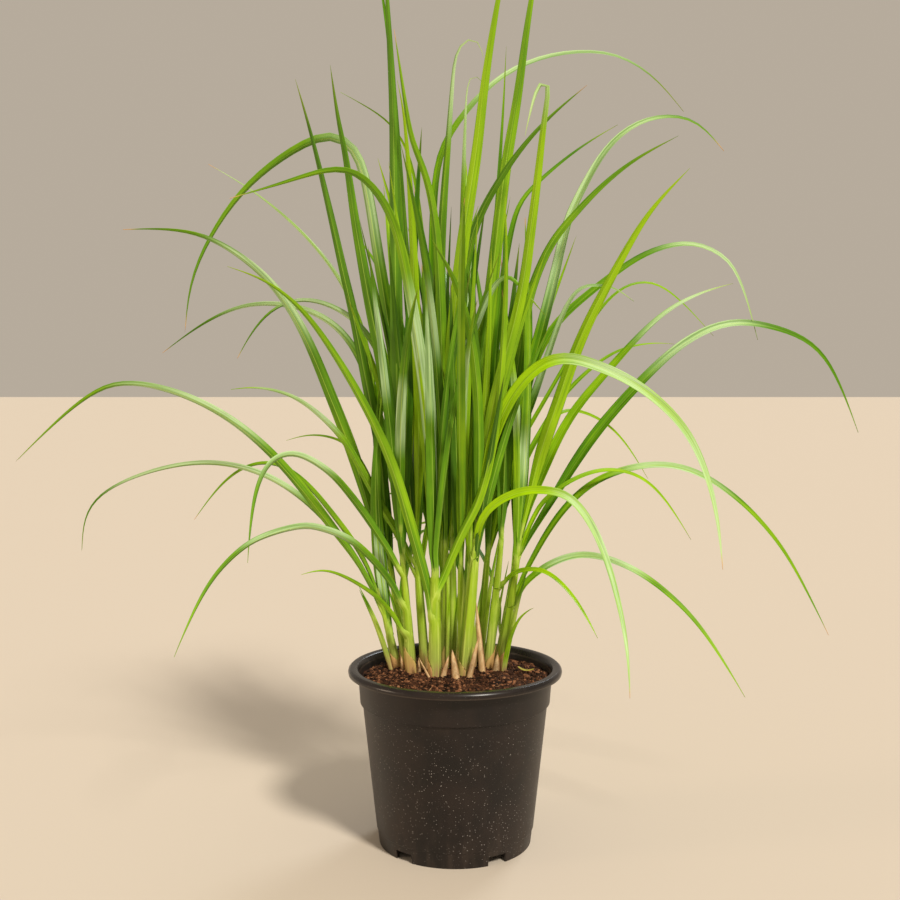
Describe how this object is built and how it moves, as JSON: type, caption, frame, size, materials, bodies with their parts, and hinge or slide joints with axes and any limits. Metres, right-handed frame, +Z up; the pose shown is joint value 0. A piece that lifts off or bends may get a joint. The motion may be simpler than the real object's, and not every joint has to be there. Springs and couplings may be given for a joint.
{
  "type": "potted lemongrass plant",
  "caption": "Clump of lemongrass, long arching grass blades on pale stalks, growing from dark soil in a round black plastic nursery pot with a rolled rim.",
  "frame": {"origin": "on the ground under the pot's axis, which is the middle of the part's box in plan", "axes": "+Z up along the pot's axis, -Y towards the front that the picture shows, +X to its right"},
  "size_m": [0.8991, 0.6186, 0.9338],
  "materials": {
    "pot": "black moulded polypropylene, satin, with fine pale dust",
    "soil": "dark crumbly potting mix of peat, bark and coir",
    "leaf": "living grass blade and sheath, satin yellow-green to blue-green",
    "dry": "dry papery brown leaf sheath"
  },
  "bodies": {
    "root": {"pot": "pot", "soil": "soil", "stem_01": "leaf", "stem_02": "leaf", "stem_03": "leaf", "stem_04": "leaf", "stem_05": "leaf", "stem_06": "leaf", "stem_07": "leaf", "stem_08": "leaf", "stem_09": "leaf", "stem_10": "leaf", "stem_11": "leaf", "stem_12": "leaf", "stem_13": "leaf", "stem_14": "leaf", "stem_15": "leaf", "stem_16": "leaf", "stem_17": "leaf", "stem_18": "leaf", "shoot": "leaf", "dry_sheath_01": "dry", "dry_sheath_02": "dry", "dry_sheath_03": "dry", "dry_sheath_04": "dry", "dry_sheath_05": "dry", "dry_sheath_06": "dry", "dry_sheath_07": "dry", "dry_sheath_08": "dry"}
  },
  "joints": []
}
